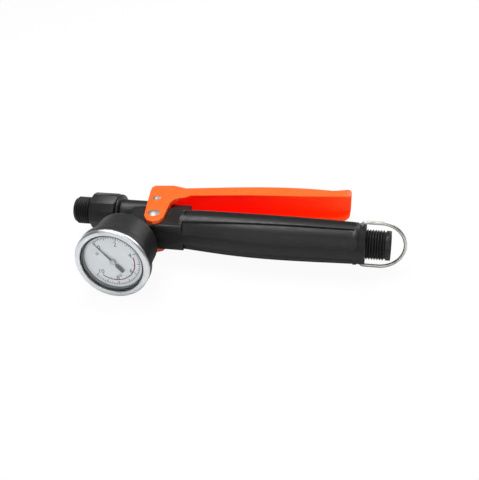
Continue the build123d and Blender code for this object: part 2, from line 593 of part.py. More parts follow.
# ---------------------------------------------------------------- lock loop
def make_lock_loop():
    pin_z = COLLAR_R - LOOP_PIN_DEPTH
    bow_x = LOOP_PIVOT_X + LOOP_REACH - LOOP_HALF_WIDTH
    legs = []
    for side in (1, -1):
        legs.append(FilletPolyline(
            (LOOP_PIVOT_X, 0, side * pin_z), (LOOP_PIVOT_X, 0, side * LOOP_HALF_WIDTH),
            (bow_x, 0, side * LOOP_HALF_WIDTH), radius=LOOP_BEND_R))
    bow = ThreePointArc(
        (bow_x, 0, LOOP_HALF_WIDTH), (LOOP_PIVOT_X + LOOP_REACH, 0, 0), (bow_x, 0, -LOOP_HALF_WIDTH))
    path = Wire(legs[0].edges() + bow.edges() + legs[1].edges())
    section = Plane(origin=(LOOP_PIVOT_X, 0, pin_z), z_dir=(0, 0, 1)) * Circle(LOOP_WIRE_R)
    PARTS["lock_loop"] = sweep(section, path=path)


# ---------------------------------------------------------------- gauge outside
def make_gauge_case():
    hole_r = GAUGE_CREST_R + 0.6
    lip_y = CASE_BACK_Y - CASE_WALL
    corner = [
        (CASE_BACK_Y - CASE_CORNER_R * (1 - math.cos(math.radians(a))),
         CASE_BACK_R - CASE_CORNER_R * (1 - math.sin(math.radians(a))))
        for a in (0, 22.5, 45, 67.5, 90)
    ]
    PARTS["gauge_case"] = turned_y([
        (CASE_BACK_Y, hole_r), *corner, (CASE_FRONT_Y, CASE_FRONT_R),
        (CASE_FRONT_Y, CASE_FRONT_R - CASE_WALL),
        (lip_y - 2, CASE_BACK_R - CASE_WALL), (lip_y, CASE_BACK_R - CASE_WALL - 2), (lip_y, hole_r),
    ])

    skirt_y = BEZEL_FRONT_Y + BEZEL_WIDTH
    bore_r = CASE_FRONT_R + SEATED_FIT
    PARTS["gauge_bezel"] = turned_y([
        (BEZEL_FRONT_Y, BEZEL_LIP_R + 0.5), (BEZEL_FRONT_Y, BEZEL_R - 1.4),
        (BEZEL_FRONT_Y + 0.4, BEZEL_R - 0.4),
        (BEZEL_FRONT_Y + 1.4, BEZEL_R), (skirt_y - 0.8, BEZEL_R), (skirt_y, BEZEL_R - 0.8),
        (skirt_y, bore_r),
        (LENS_FRONT_Y, bore_r), (LENS_FRONT_Y, BEZEL_LIP_R), (BEZEL_FRONT_Y + 0.5, BEZEL_LIP_R),
    ])
    lens_r = bore_r - SEATED_FIT
    PARTS["gauge_lens"] = rod_y(LENS_FRONT_Y, LENS_BACK_Y, lens_r)
    PARTS["lens_gasket"] = ring_y(LENS_BACK_Y, DIAL_FRONT_Y, DIAL_R, DIAL_R - GASKET_WIDTH)
    dial = rod_y(DIAL_FRONT_Y, DIAL_BACK_Y, DIAL_R) - rod_y(DIAL_FRONT_Y - 1, DIAL_BACK_Y + 1, DIAL_HOLE_R)
    PARTS["dial"] = dial


def make_gauge_socket():
    thread = ridges(BOSS_END_Y, SOCKET_END_Y, GAUGE_CREST_R, GAUGE_PITCH, GAUGE_DEPTH)
    root_r = GAUGE_CREST_R - GAUGE_DEPTH
    stub = turned_y(merged([
        (CASE_BACK_Y - 4, 0), (CASE_BACK_Y - 4, root_r), (BOSS_END_Y, root_r), *thread,
        (SOCKET_END_Y, root_r - 0.1), (SOCKET_END_Y, 0),
    ]))
    half = SOCKET_SQUARE / 2
    nut_gap = 1.0
    stub += block(GAUGE_X - half, GAUGE_X + half, CASE_BACK_Y, BOSS_END_Y - nut_gap, -half, half)
    plate_y = PLATE_BACK_Y + PLATE_THICK
    arm_half = 4.0
    arm = Pos(TUBE_R / 2 - 1, 0) * Rectangle(TUBE_R + 2 + arm_half, 2 * arm_half)
    root_y = TUBE_FRONT_Y + TUBE_WIDTH + 0.6
    stub += dial_plate(arm, root_y, CASE_BACK_Y - CASE_WALL - 0.4 - root_y, TUBE_START)
    stub += tube_root()
    tower_half = 3.2
    stub += block(GAUGE_X - tower_half, GAUGE_X + tower_half, plate_y, CASE_BACK_Y - 4,
                  -tower_half, tower_half)
    stub -= rod_y(SOCKET_END_Y + 1, root_y + 2, 1.5)
    PARTS["gauge_socket"] = stub
    washer = rod_y(BOSS_END_Y - nut_gap, BOSS_END_Y, BOSS_R - 1.0) - rod_y(
        BOSS_END_Y - nut_gap - 1, BOSS_END_Y + 1, GAUGE_CREST_R)
    PARTS["gauge_washer"] = washer


def tube_root():
    """Block on the socket's arm that the bourdon tube is soldered into."""
    foot = Pos(TUBE_R, 0) * Rectangle(4.0, 5.0)
    return dial_plate(foot, TUBE_FRONT_Y - 0.5, TUBE_WIDTH + 1.5, TUBE_START)


# ---------------------------------------------------------------- gauge movement
def make_pointer():
    half = [
        (POINTER_LENGTH, POINTER_TIP_HALF), (2.0, POINTER_WAIST_HALF), (-3.2, POINTER_WAIST_HALF),
        (-3.4, POINTER_TAIL_HALF), (-POINTER_TAIL, POINTER_TAIL_HALF),
    ]
    mirrored = [(along, -across) for along, across in reversed(half)]
    outline = make_face(Polyline(*half, *mirrored, close=True))
    front_y = DIAL_FRONT_Y - POINTER_LIFT - POINTER_THICK
    pointer = dial_plate(outline, front_y, POINTER_THICK, POINTER_ANGLE)
    pointer += rod_y(front_y - 0.7, front_y + POINTER_THICK, POINTER_HUB_R)
    pointer -= rod_y(front_y - 1, front_y + 1, ARBOR_R + SEATED_FIT)
    PARTS["pointer"] = pointer

    arbor = rod_y(front_y - 0.5, PLATE_BACK_Y + PLATE_THICK / 2, ARBOR_R)
    pinion = make_face(Polyline(*gear_outline(PINION_TEETH, PINION_TEETH, 0.5), close=True))
    arbor += dial_plate(pinion, GEAR_FRONT_Y - 0.5, PINION_WIDTH, SECTOR_DIRECTION)
    PARTS["pinion_arbor"] = arbor


def gear_outline(teeth_round, teeth_cut, phase):
    """Corners of straight-flanked teeth about the origin, lying evenly about the +x line."""
    pitch_r = GEAR_MODULE * teeth_round / 2
    tip_r = pitch_r + 0.8 * GEAR_MODULE
    root_r = pitch_r - 1.1 * GEAR_MODULE
    half_tip = 0.5 * TOOTH_FILL * 0.55
    half_root = 0.5 * TOOTH_FILL * 1.45
    points = []
    for tooth in range(teeth_cut):
        middle = tooth - (teeth_cut - 1) / 2 + phase
        flanks = ((-half_root, root_r), (-half_tip, tip_r), (half_tip, tip_r), (half_root, root_r))
        for share, radius in flanks:
            turn = 2 * math.pi * (middle + share) / teeth_round
            points.append((radius * math.cos(turn), radius * math.sin(turn)))
    return points


def make_sector():
    teeth = gear_outline(SECTOR_TEETH_ROUND, SECTOR_TEETH, 0.0)
    waist = 1.3
    shoulder = waist + 2.2
    outline = make_face(Polyline(
        *teeth, (5.5, shoulder), (1.5, waist), (1.5, -waist), (5.5, -shoulder), close=True))
    outline += Circle(1.7)
    tail_length = TAIL_REACH + LINK_EYE_R
    outline += Pos(-tail_length / 2, 0) * Rectangle(tail_length, 1.8)
    outline -= Circle(SMALL_PIN_R + SEATED_FIT)
    outline -= Pos(-TAIL_REACH, 0) * Circle(SMALL_PIN_R + RUNNING_FIT)
    centre = sector_centre()
    turn = SECTOR_DIRECTION + 180 + SECTOR_START
    PARTS["sector_gear"] = dial_plate(outline, GEAR_FRONT_Y, SECTOR_THICK, turn, centre)
    x = GAUGE_X + centre[0]
    half_plate = PLATE_THICK / 2
    PARTS["sector_arbor"] = rod_y(
        PLATE_FRONT_Y + half_plate, PLATE_BACK_Y + half_plate, SMALL_PIN_R, x, centre[1])


def sector_centre():
    turn = math.radians(SECTOR_DIRECTION)
    return (GEAR_CENTRES * math.cos(turn), GEAR_CENTRES * math.sin(turn))


def tail_pin():
    """Where the link joins the sector's tail, about the gauge's axis."""
    turn = math.radians(SECTOR_DIRECTION + SECTOR_START)
    centre = sector_centre()
    return (centre[0] + TAIL_REACH * math.cos(turn), centre[1] + TAIL_REACH * math.sin(turn))


def make_link():
    start = tail_pin()
    end_turn = math.radians(TUBE_START + TUBE_SWEEP + 9)
    reach = TUBE_R - 3.4
    end = (reach * math.cos(end_turn), reach * math.sin(end_turn))
    length = math.dist(start, end)
    heading = math.degrees(math.atan2(end[1] - start[1], end[0] - start[0]))
    strip = Pos(length / 2, 0) * Rectangle(length, 1.1)
    strip += Circle(LINK_EYE_R)
    strip += Pos(length, 0) * Circle(LINK_EYE_R)
    strip -= Pos(length, 0) * Circle(SMALL_PIN_R + RUNNING_FIT)
    front_y = GEAR_FRONT_Y + SECTOR_THICK + LINK_GAP
    link = dial_plate(strip, front_y, LINK_THICK, heading, start)
    link += rod_y(GEAR_FRONT_Y - LINK_GAP, front_y + LINK_THICK, SMALL_PIN_R, GAUGE_X + start[0], start[1])
    PARTS["link"] = link


def make_bourdon_tube():
    y_back = TUBE_FRONT_Y + TUBE_WIDTH
    tube_ring = ring_y(TUBE_FRONT_Y, y_back, TUBE_R + TUBE_THICK / 2, TUBE_R - TUBE_THICK / 2)
    corners = [(0.0, 0.0)]
    for step in range(9):
        turn = math.radians(TUBE_START + TUBE_SWEEP * step / 8)
        corners.append((1.5 * TUBE_R * math.cos(turn), 1.5 * TUBE_R * math.sin(turn)))
    sweep_face = make_face(Polyline(*corners, close=True))
    tube = tube_ring & dial_plate(sweep_face, TUBE_FRONT_Y - 1, TUBE_WIDTH + 2)
    PARTS["bourdon_tube"] = tube - tube_root()
    end_angle = TUBE_START + TUBE_SWEEP
    turn = math.radians(end_angle)
    tip = (TUBE_R * math.cos(turn), TUBE_R * math.sin(turn))
    ear_y = GEAR_FRONT_Y + SECTOR_THICK + 2 * LINK_GAP + LINK_THICK
    plug = Pos(0, 1.5) * Rectangle(TUBE_THICK + 1.0, 3.0)
    tip_piece = dial_plate(plug, ear_y, y_back - 0.5 - ear_y, end_angle, tip)
    tip_piece += dial_plate(Pos(-1.9, 2.2) * Rectangle(4.0, 1.6), ear_y, 1.0, end_angle, tip)
    PARTS["tube_end"] = tip_piece


def make_movement_frame():
    centre = sector_centre()
    plate = Rectangle(2 * PLATE_R, 2 * PLATE_HALF_WIDTH) & Circle(PLATE_R)
    along = Rot(0, 0, SECTOR_DIRECTION)
    plates = []
    for y in (PLATE_FRONT_Y, PLATE_BACK_Y):
        piece = dial_plate(plate, y, PLATE_THICK, SECTOR_DIRECTION)
        piece -= rod_y(y - 1, y + 2, ARBOR_R + RUNNING_FIT)
        piece -= rod_y(y - 1, y + 2, SMALL_PIN_R + RUNNING_FIT, GAUGE_X + centre[0], centre[1])
        plates.append(piece)
    PARTS["movement_plates"] = Compound(plates)
    posts = []
    for x, z in PILLARS:
        spot = (along * Pos(x, z)).position
        posts.append(rod_y(PLATE_FRONT_Y + PLATE_THICK, PLATE_BACK_Y, PILLAR_R, GAUGE_X + spot.X, spot.Y))
    PARTS["movement_pillars"] = Compound(posts)

    screws = []
    for x, z in DIAL_SCREWS:
        spot = (along * Pos(x, z)).position
        screw = rod_y(DIAL_FRONT_Y - 0.5, DIAL_FRONT_Y, 1.1, GAUGE_X + spot.X, spot.Y)
        screw += rod_y(DIAL_FRONT_Y - 0.1, PLATE_FRONT_Y, SCREW_R, GAUGE_X + spot.X, spot.Y)
        hole_r = SCREW_R + SEATED_FIT
        PARTS["dial"] -= rod_y(DIAL_FRONT_Y - 1, DIAL_BACK_Y + 1, hole_r, GAUGE_X + spot.X, spot.Y)
        screws.append(screw)
    PARTS["dial_screws"] = Compound(screws)

    inner_r = ARBOR_R + HAIRSPRING_WIRE + 0.1
    half = HAIRSPRING_WIRE / 2
    turns = []
    steps = 24
    for offset in (half, -half):
        rail = []
        for step in range(HAIRSPRING_TURNS * steps + 1):
            angle = 2 * math.pi * step / steps
            radius = inner_r + HAIRSPRING_PITCH * step / steps + offset
            rail.append((radius * math.cos(angle), radius * math.sin(angle)))
        turns.append(rail)
    spiral = make_face(Polyline(*turns[0], *reversed(turns[1]), close=True))
    hairspring = dial_plate(spiral, PLATE_BACK_Y - 1.6, 0.6)
    stud_x = GAUGE_X + inner_r + HAIRSPRING_PITCH * HAIRSPRING_TURNS
    PARTS["hairspring"] = hairspring + rod_y(PLATE_BACK_Y - 1.6, PLATE_BACK_Y, 0.6, stud_x)


make_grip_body()
make_strainer()
make_outlet()
make_valve()
make_lever()
make_lock_loop()
make_gauge_case()
make_gauge_socket()
make_pointer()
make_sector()
make_link()
make_bourdon_tube()
make_movement_frame()

os.makedirs("parts", exist_ok=True)
for name, shape in PARTS.items():
    export_step(shape, f"parts/{name}.step")
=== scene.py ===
import json
import math

import bmesh
import bpy
from mathutils import Matrix, Vector


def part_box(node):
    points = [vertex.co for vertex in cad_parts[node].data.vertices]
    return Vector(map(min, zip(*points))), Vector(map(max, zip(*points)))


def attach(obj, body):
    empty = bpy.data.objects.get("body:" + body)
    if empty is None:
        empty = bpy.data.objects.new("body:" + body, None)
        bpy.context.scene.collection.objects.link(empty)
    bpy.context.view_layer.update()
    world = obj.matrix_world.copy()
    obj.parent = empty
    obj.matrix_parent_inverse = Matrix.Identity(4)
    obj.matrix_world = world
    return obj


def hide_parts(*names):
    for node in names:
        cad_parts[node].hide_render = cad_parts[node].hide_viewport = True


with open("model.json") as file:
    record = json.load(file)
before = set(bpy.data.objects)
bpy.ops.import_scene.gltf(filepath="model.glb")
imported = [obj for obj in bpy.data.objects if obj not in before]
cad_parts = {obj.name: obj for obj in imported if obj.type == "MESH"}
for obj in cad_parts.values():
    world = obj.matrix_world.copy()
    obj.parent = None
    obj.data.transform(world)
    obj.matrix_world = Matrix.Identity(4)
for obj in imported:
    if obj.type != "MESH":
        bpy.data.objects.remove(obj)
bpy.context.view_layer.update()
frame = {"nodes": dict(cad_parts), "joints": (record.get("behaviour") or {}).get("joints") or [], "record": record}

MM = 0.001

LEVER_WALL = 2.5 * MM           # an inner face that gets the painted shade lies at least this far in from the lever's sides
LEVER_TIP_LOW_Z = -10.5 * MM    # lowest corner of the lever's tip, which rests on the floor

# Gauge
BEZEL_MOUTH_R = 22.6 * MM
BEZEL_ROLL_R = 1.5 * MM
BEZEL_RIM_WIDTH = 2.6 * MM      # bright part; the skirt behind it is black
SCALE_SWEEP = 270.0
DIVISIONS = 50
SCALE_INSET = 3.0 * MM          # dial's edge to the outer end of the ticks
NUMBER_INSET = 8.2 * MM
NUMBER_SIZE = 4.8 * MM
NUMBER_STEP = 2
NUMBER_COUNT = 6
BAND_INSET = 6.4 * MM
BAND_START = 16                 # angles from +X towards +Z, in degrees
BAND_SWEEP = 144
BAND_DIVISIONS = 6
INK_LIFT = 0.04 * MM            # middle of the ink, ahead of the dial
INK_HEIGHT = 0.05 * MM

# Camera
CAMERA_PLACE = (-18.3 * MM, -396.7 * MM, 245.0 * MM)
CAMERA_ANGLES = (-12.5, 31.5, -2.5)     # azimuth, elevation and roll, in degrees
CAMERA_LENS = 49.62
SENSOR_WIDTH = 36
FLOOR_GLOW = 0.94               # share of the floor's look that is plain white

# ---------------------------------------------------------------- places, all taken from the frame
joints = {joint["name"]: joint for joint in frame["joints"]}
gauge_x = joints["pointer_turn"]["pos_m"][0]
bezel_low, bezel_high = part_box("gauge_bezel")
lens_low, lens_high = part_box("gauge_lens")
dial_low, dial_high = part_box("dial")
pointer_low, pointer_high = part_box("pointer")
dial_front = dial_low.y
dial_radius = (dial_high.z - dial_low.z) / 2
pointer_tip = Vector((pointer_low.x - gauge_x, 0, pointer_high.z))
pointer_angle = math.degrees(math.atan2(pointer_tip.z, pointer_tip.x))


# ---------------------------------------------------------------- working tools
def clear_selection():
    if bpy.context.object and bpy.context.object.mode != "OBJECT":
        bpy.ops.object.mode_set(mode="OBJECT")
    bpy.ops.object.select_all(action="DESELECT")


def make_active(piece):
    clear_selection()
    piece.select_set(True)
    bpy.context.view_layer.objects.active = piece


def settle(piece):
    """Put the piece's place into its mesh, and its object at the origin."""
    make_active(piece)
    bpy.ops.object.transform_apply(location=True, rotation=True, scale=True)


def face_outwards(piece):
    make_active(piece)
    bpy.ops.object.mode_set(mode="EDIT")
    bpy.ops.mesh.select_all(action="SELECT")
    bpy.ops.mesh.remove_doubles(threshold=1e-6)
    bpy.ops.mesh.normals_make_consistent(inside=False)
    bpy.ops.object.mode_set(mode="OBJECT")


def apply_modifier(piece, kind, **settings):
    make_active(piece)
    modifier = piece.modifiers.new(kind.lower(), kind)
    for name, value in settings.items():
        setattr(modifier, name, value)
    bpy.ops.object.modifier_apply(modifier=modifier.name)


def round_edges(piece, width, segments=3, angle=30):
    apply_modifier(piece, "BEVEL", width=width, segments=segments, limit_method="ANGLE",
                   angle_limit=math.radians(angle), miter_outer="MITER_ARC", harden_normals=False)


def shade(piece, angle=35):
    make_active(piece)
    bpy.ops.object.shade_smooth_by_angle(angle=math.radians(angle))


def finish_piece(piece, name, body, material, replaced=(), smooth=35):
    piece.name = name
    piece.data.name = name
    shade(piece, smooth)
    piece.data.materials.clear()
    piece.data.materials.append(material)
    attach(piece, body)
    if replaced:
        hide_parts(*replaced)


def copy_of_node(node):
    """A merged copy of a CAD node's mesh, with its flat faces whole again."""
    source = frame["nodes"][node]
    piece = bpy.data.objects.new(node + "_finish", source.data.copy())
    bpy.context.scene.collection.objects.link(piece)
    make_active(piece)
    bpy.ops.object.mode_set(mode="EDIT")
    bpy.ops.mesh.select_all(action="SELECT")
    bpy.ops.mesh.remove_doubles(threshold=2e-6)
    bpy.ops.mesh.customdata_custom_splitnormals_clear()
    bpy.ops.mesh.dissolve_limited(angle_limit=math.radians(1.0))
    bpy.ops.object.mode_set(mode="OBJECT")
    return piece


def ring_profile(points, axis_start, axis, steps=96):
    """Turn (along, radius) points about an axis into a closed solid of revolution."""
    axis = Vector(axis).normalized()
    side = Vector((0, 0, 1)) if abs(axis.z) < 0.9 else Vector((1, 0, 0))
    mesh = bpy.data.meshes.new("turned")
    place = Vector(axis_start)
    corners = [place + axis * along + side * radius for along, radius in points]
    count = len(corners)
    mesh.from_pydata(corners, [(i, (i + 1) % count) for i in range(count)], [])
    piece = bpy.data.objects.new("turned", mesh)
    bpy.context.scene.collection.objects.link(piece)
    make_active(piece)
    bpy.ops.object.mode_set(mode="EDIT")
    bpy.ops.mesh.select_all(action="SELECT")
    bpy.ops.mesh.spin(steps=steps, angle=2 * math.pi, center=place, axis=axis)
    bpy.ops.object.mode_set(mode="OBJECT")
    face_outwards(piece)
    return piece


# ---------------------------------------------------------------- materials
class Finish:
    """A principled material with named steps for the patterns on it."""

    def __init__(self, name, color, roughness, metallic=0.0, specular=0.5):
        self.material = bpy.data.materials.new(name)
        self.material.use_nodes = True
        self.tree = self.material.node_tree
        self.shader = self.tree.nodes["Principled BSDF"]
        self.shader.inputs["Base Color"].default_value = (*color, 1)
        self.shader.inputs["Roughness"].default_value = roughness
        self.shader.inputs["Metallic"].default_value = metallic
        self.shader.inputs["Specular IOR Level"].default_value = specular
        self.place = self.tree.nodes.new("ShaderNodeTexCoord").outputs["Object"]
        self.bump = None

    def noise(self, scale, detail=3.0, stretch=(1, 1, 1)):
        mapping = self.tree.nodes.new("ShaderNodeMapping")
        mapping.inputs["Scale"].default_value = stretch
        self.tree.links.new(self.place, mapping.inputs["Vector"])
        noise = self.tree.nodes.new("ShaderNodeTexNoise")
        noise.inputs["Scale"].default_value = scale
        noise.inputs["Detail"].default_value = detail
        self.tree.links.new(mapping.outputs["Vector"], noise.inputs["Vector"])
        return noise.outputs["Fac"]

    def ramp(self, value, low, high, start=0.3, end=0.7):
        ramp = self.tree.nodes.new("ShaderNodeValToRGB")
        ramp.color_ramp.elements[0].position = start
        ramp.color_ramp.elements[1].position = end
        ramp.color_ramp.elements[0].color = (*low, 1)
        ramp.color_ramp.elements[1].color = (*high, 1)
        self.tree.links.new(value, ramp.inputs["Fac"])
        return ramp.outputs["Color"]

    def vary_color(self, value, low, high, start=0.3, end=0.7):
        self.tree.links.new(self.ramp(value, low, high, start, end), self.shader.inputs["Base Color"])

    def vary_roughness(self, value, low, high):
        gray = self.ramp(value, (low, low, low), (high, high, high))
        self.tree.links.new(gray, self.shader.inputs["Roughness"])

    def raise_by(self, value, distance, strength):
        """Add a pattern to the surface's height, in metres."""
        bump = self.tree.nodes.new("ShaderNodeBump")
        bump.inputs["Distance"].default_value = distance
        bump.inputs["Strength"].default_value = strength
        self.tree.links.new(value, bump.inputs["Height"])
        if self.bump:
            self.tree.links.new(self.bump, bump.inputs["Normal"])
        self.bump = bump.outputs["Normal"]
        self.tree.links.new(self.bump, self.shader.inputs["Normal"])


def moulded_black(name, color, edge, roughness):
    """Glass-filled nylon: fine grain, and faint flow marks in a slightly paler tone."""
    finish = Finish(name, color, roughness, specular=0.32)
    flow = finish.noise(60, 4, (0.35, 1, 1))
    finish.vary_color(flow, color, edge, 0.35, 0.85)
    finish.vary_roughness(finish.noise(220, 3), roughness - 0.05, roughness + 0.08)
    finish.raise_by(finish.noise(2600, 2), 0.00004, 0.55)
    finish.raise_by(finish.noise(140, 2, (0.4, 1, 1)), 0.0001, 0.35)
    return finish.material


def orange_enamel():
    finish = Finish("lever_orange_enamel", (0.955, 0.125, 0.012), 0.3, specular=0.3)
    finish.vary_color(finish.noise(28, 3), (0.94, 0.115, 0.010), (0.97, 0.135, 0.014))
    finish.vary_roughness(finish.noise(160, 3), 0.26, 0.36)
    finish.raise_by(finish.noise(420, 2), 0.00006, 0.35)
    finish.raise_by(finish.noise(45, 2, (0.25, 1, 1)), 0.0002, 0.35)
    finish.shader.inputs["Coat Weight"].default_value = 0.08
    finish.shader.inputs["Coat Roughness"].default_value = 0.12
    return finish.material


def inner_enamel(start_x, end_x):
    """Painted shade and glow inside the channel: deep red for the shade, easing to orange-red towards the lever's
    tip, plus a painted red glow.
    """
    finish = Finish("lever_inner_painted_shade_glow", (0.98, 0.012, 0.002), 0.42, specular=0.15)
    # Painted glow: the inner faces give off red light of their own, though they are no lamp.
    finish.shader.inputs["Emission Color"].default_value = (1.0, 0.004, 0.0, 1)
    finish.shader.inputs["Emission Strength"].default_value = 0.3
    split = finish.tree.nodes.new("ShaderNodeSeparateXYZ")
    finish.tree.links.new(finish.place, split.inputs["Vector"])
    along = finish.tree.nodes.new("ShaderNodeMapRange")
    along.inputs["From Min"].default_value = start_x
    along.inputs["From Max"].default_value = end_x
    finish.tree.links.new(split.outputs["X"], along.inputs["Value"])
    # Painted shade easing along X: deep red near the pivot, more orange towards the tip.
    finish.vary_color(along.outputs["Result"], (0.98, 0.010, 0.002), (0.98, 0.085, 0.004), 0.45, 1.0)
    finish.raise_by(finish.noise(60, 3, (0.12, 1, 1)), 0.0002, 0.4)
    return finish.material


def metal(name, low, high, roughness, grain=900, stretch=(1, 1, 1), height=0.00003):
    finish = Finish(name, low, roughness, metallic=1.0)
    finish.vary_color(finish.noise(grain * 0.3, 4, stretch), low, high)
    finish.vary_roughness(finish.noise(grain * 0.5, 3, stretch), roughness - 0.08, roughness + 0.1)
    finish.raise_by(finish.noise(grain, 3, stretch), height, 0.5)
    return finish.material


def printed_white():
    finish = Finish("dial_white_print", (0.86, 0.87, 0.88), 0.42)
    finish.vary_color(finish.noise(90, 3), (0.84, 0.85, 0.86), (0.88, 0.89, 0.90))
    finish.raise_by(finish.noise(1800, 2), 0.00001, 0.3)
    return finish.material


def ink(name, low, high):
    finish = Finish(name, low, 0.5)
    finish.vary_color(finish.noise(1500, 3), low, high)
    return finish.material


def rubber(name, low, high):
    finish = Finish(name, low, 0.7, specular=0.3)
    finish.vary_color(finish.noise(300, 4), low, high)
    finish.raise_by(finish.noise(1500, 3), 0.00003, 0.5)
    return finish.material


def clear_lens():
    """Clear moulded lens: the dial shows through it, and it throws no dark shadow on it."""
    finish = Finish("clear_lens", (0.96, 0.98, 0.99), 0.04)
    finish.shader.inputs["Transmission Weight"].default_value = 1.0
    finish.shader.inputs["IOR"].default_value = 1.45
    finish.raise_by(finish.noise(30, 2), 0.00003, 0.2)
    nodes = finish.tree.nodes
    links = finish.tree.links
    path = nodes.new("ShaderNodeLightPath")
    through = nodes.new("ShaderNodeBsdfTransparent")
    mix = nodes.new("ShaderNodeMixShader")
    links.new(path.outputs["Is Shadow Ray"], mix.inputs["Fac"])
    links.new(finish.shader.outputs["BSDF"], mix.inputs[1])
    links.new(through.outputs["BSDF"], mix.inputs[2])
    links.new(mix.outputs["Shader"], nodes["Material Output"].inputs["Surface"])
    return finish.material


grip_black = moulded_black("grip_black", (0.0060, 0.0056, 0.0052), (0.011, 0.0105, 0.0098), 0.42)
adapter_black = moulded_black("adapter_black", (0.0065, 0.0065, 0.0062), (0.012, 0.012, 0.0115), 0.36)
case_black = moulded_black("case_black", (0.014, 0.014, 0.0150), (0.020, 0.020, 0.0215), 0.40)
enamel = orange_enamel()
rivet_metal = metal("rivet_steel", (0.24, 0.225, 0.20), (0.42, 0.395, 0.355), 0.5, 1400)
wire_metal = metal("loop_wire", (0.42, 0.42, 0.39), (0.60, 0.60, 0.57), 0.34, 1100)
spring_metal = metal("spring_steel", (0.40, 0.40, 0.41), (0.58, 0.58, 0.59), 0.30, 1300)
bezel_metal = metal("bezel_chrome", (0.62, 0.64, 0.66), (0.74, 0.76, 0.78), 0.34, 300, height=0.00001)
brass = metal("machined_brass", (0.66, 0.47, 0.17), (0.80, 0.60, 0.27), 0.28, 800)
bronze = metal("drawn_bronze", (0.52, 0.30, 0.14), (0.66, 0.42, 0.22), 0.32, 900)
dial_white = printed_white()
ink_black = ink("ink_black", (0.010, 0.011, 0.012), (0.02, 0.022, 0.024))
ink_crimson = ink("ink_crimson", (0.42, 0.015, 0.05), (0.52, 0.03, 0.08))
pointer_black = ink("pointer_black", (0.05, 0.055, 0.065), (0.09, 0.095, 0.105))
gasket_grey = rubber("gasket_grey", (0.11, 0.12, 0.13), (0.16, 0.17, 0.18))
seal_rubber = rubber("seal_rubber", (0.012, 0.012, 0.012), (0.022, 0.022, 0.022))
strainer_white = rubber("strainer_white", (0.66, 0.66, 0.63), (0.74, 0.74, 0.71))
acetal_white = rubber("acetal_white", (0.70, 0.70, 0.66), (0.78, 0.78, 0.75))
lens_clear = clear_lens()

node_finish = {
    "black_nylon": grip_black, "lever_orange": enamel, "rivet_steel": rivet_metal, "loop_wire": wire_metal,
    "spring_steel": spring_metal, "case_black": case_black, "bezel_chrome": bezel_metal,
    "lens_clear": lens_clear, "dial_white": dial_white, "pointer_black": pointer_black,
    "gasket_grey": gasket_grey, "seal_rubber": seal_rubber, "brass": brass, "bronze": bronze,
    "white_plastic": strainer_white, "acetal": acetal_white,
}
for subpart in frame["record"]["subparts"]:
    node_mesh = frame["nodes"][subpart["node"]].data
    node_mesh.materials.clear()
    node_mesh.materials.append(node_finish[subpart["material_slot"]])


# ---------------------------------------------------------------- grip, adapter and lever
def grip_finish():
    piece = copy_of_node("grip_body")
    round_edges(piece, 0.35 * MM, 2, 28)
    finish_piece(piece, "grip_body_finish", "handle", grip_black, ["grip_body"], 30)


def adapter_finish():
    piece = copy_of_node("outlet_adapter")
    round_edges(piece, 0.25 * MM, 2, 25)
    finish_piece(piece, "outlet_adapter_finish", "handle", adapter_black,
                 ["outlet_adapter"], 30)


def lever_finish():
    piece = copy_of_node("lever")
    low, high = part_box("lever")
    half_width = (high.z - low.z) / 2
    round_edges(piece, 0.7 * MM, 4, 40)
    finish_piece(piece, "lever_finish", "lever", enamel, ["lever"], 35)
    # Second slot: painted shade and glow for the faces inside the channel.
    piece.data.materials.append(inner_enamel(low.x, high.x))
    # The web's inner face and the inner faces of the sides get the painted shade; the other faces keep the plain
    # orange enamel.
    for face in piece.data.polygons:
        shaded_web = face.normal.y < -0.5 and abs(face.center.z) < half_width - LEVER_WALL
        shaded_sides = face.normal.z * face.center.z < 0 and abs(face.normal.z) > 0.5
        face.material_index = 1 if shaded_web or shaded_sides else 0


# ---------------------------------------------------------------- gauge
def gauge_point(radius, angle, y):
    """A point about the gauge's axis, at an angle from +X towards +Z in degrees."""
    turn = math.radians(angle)
    return Vector((gauge_x + radius * math.cos(turn), y, radius * math.sin(turn)))


def flat_print(name, outlines, height, material, y):
    """Ink on the dial: flat outlines of points about the gauge's axis, raised by the ink's height."""
    mesh = bpy.data.meshes.new(name)
    bm = bmesh.new()
    for outline in outlines:
        corners = [bm.verts.new((point.x, y, point.z)) for point in outline]
        bm.faces.new(corners)
    bm.to_mesh(mesh)
    bm.free()
    piece = bpy.data.objects.new(name, mesh)
    bpy.context.scene.collection.objects.link(piece)
    apply_modifier(piece, "SOLIDIFY", thickness=height, offset=0)
    face_outwards(piece)
    finish_piece(piece, name, "handle", material, smooth=30)


def scale_angle(share):
    """Dial angle at a share of the full scale; the pointer turns clockwise."""
    return pointer_angle - SCALE_SWEEP * share


def tick(angle, inner, outer, width):
    along = gauge_point(1, angle, 0) - gauge_point(0, 0, 0)
    side = Vector((-along.z, 0, along.x)) * (width / 2)
    start = gauge_point(inner, angle, 0)
    end = gauge_point(outer, angle, 0)
    return [start - side, end - side, end + side, start + side]


def arc_band(inner, outer, start_angle, end_angle, steps):
    quads = []
    for step in range(steps):
        first = start_angle + (end_angle - start_angle) * step / steps
        second = start_angle + (end_angle - start_angle) * (step + 1) / steps
        quads.append([gauge_point(inner, first, 0), gauge_point(outer, first, 0),
                      gauge_point(outer, second, 0), gauge_point(inner, second, 0)])
    return quads


def numeral(text, radius, angle, name):
    bpy.ops.object.text_add()
    letter = bpy.context.object
    letter.data.body = text
    letter.data.size = NUMBER_SIZE
    letter.data.align_x = "CENTER"
    letter.data.align_y = "CENTER"
    letter.data.extrude = 0.02 * MM
    letter.data.resolution_u = 3
    make_active(letter)
    bpy.ops.object.convert(target="MESH")
    letter = bpy.context.object
    letter.rotation_euler = (math.radians(90), 0, 0)
    letter.location = gauge_point(radius, angle, dial_front - INK_LIFT)
    settle(letter)
    face_outwards(letter)
    finish_piece(letter, name, "handle", ink_black, smooth=30)


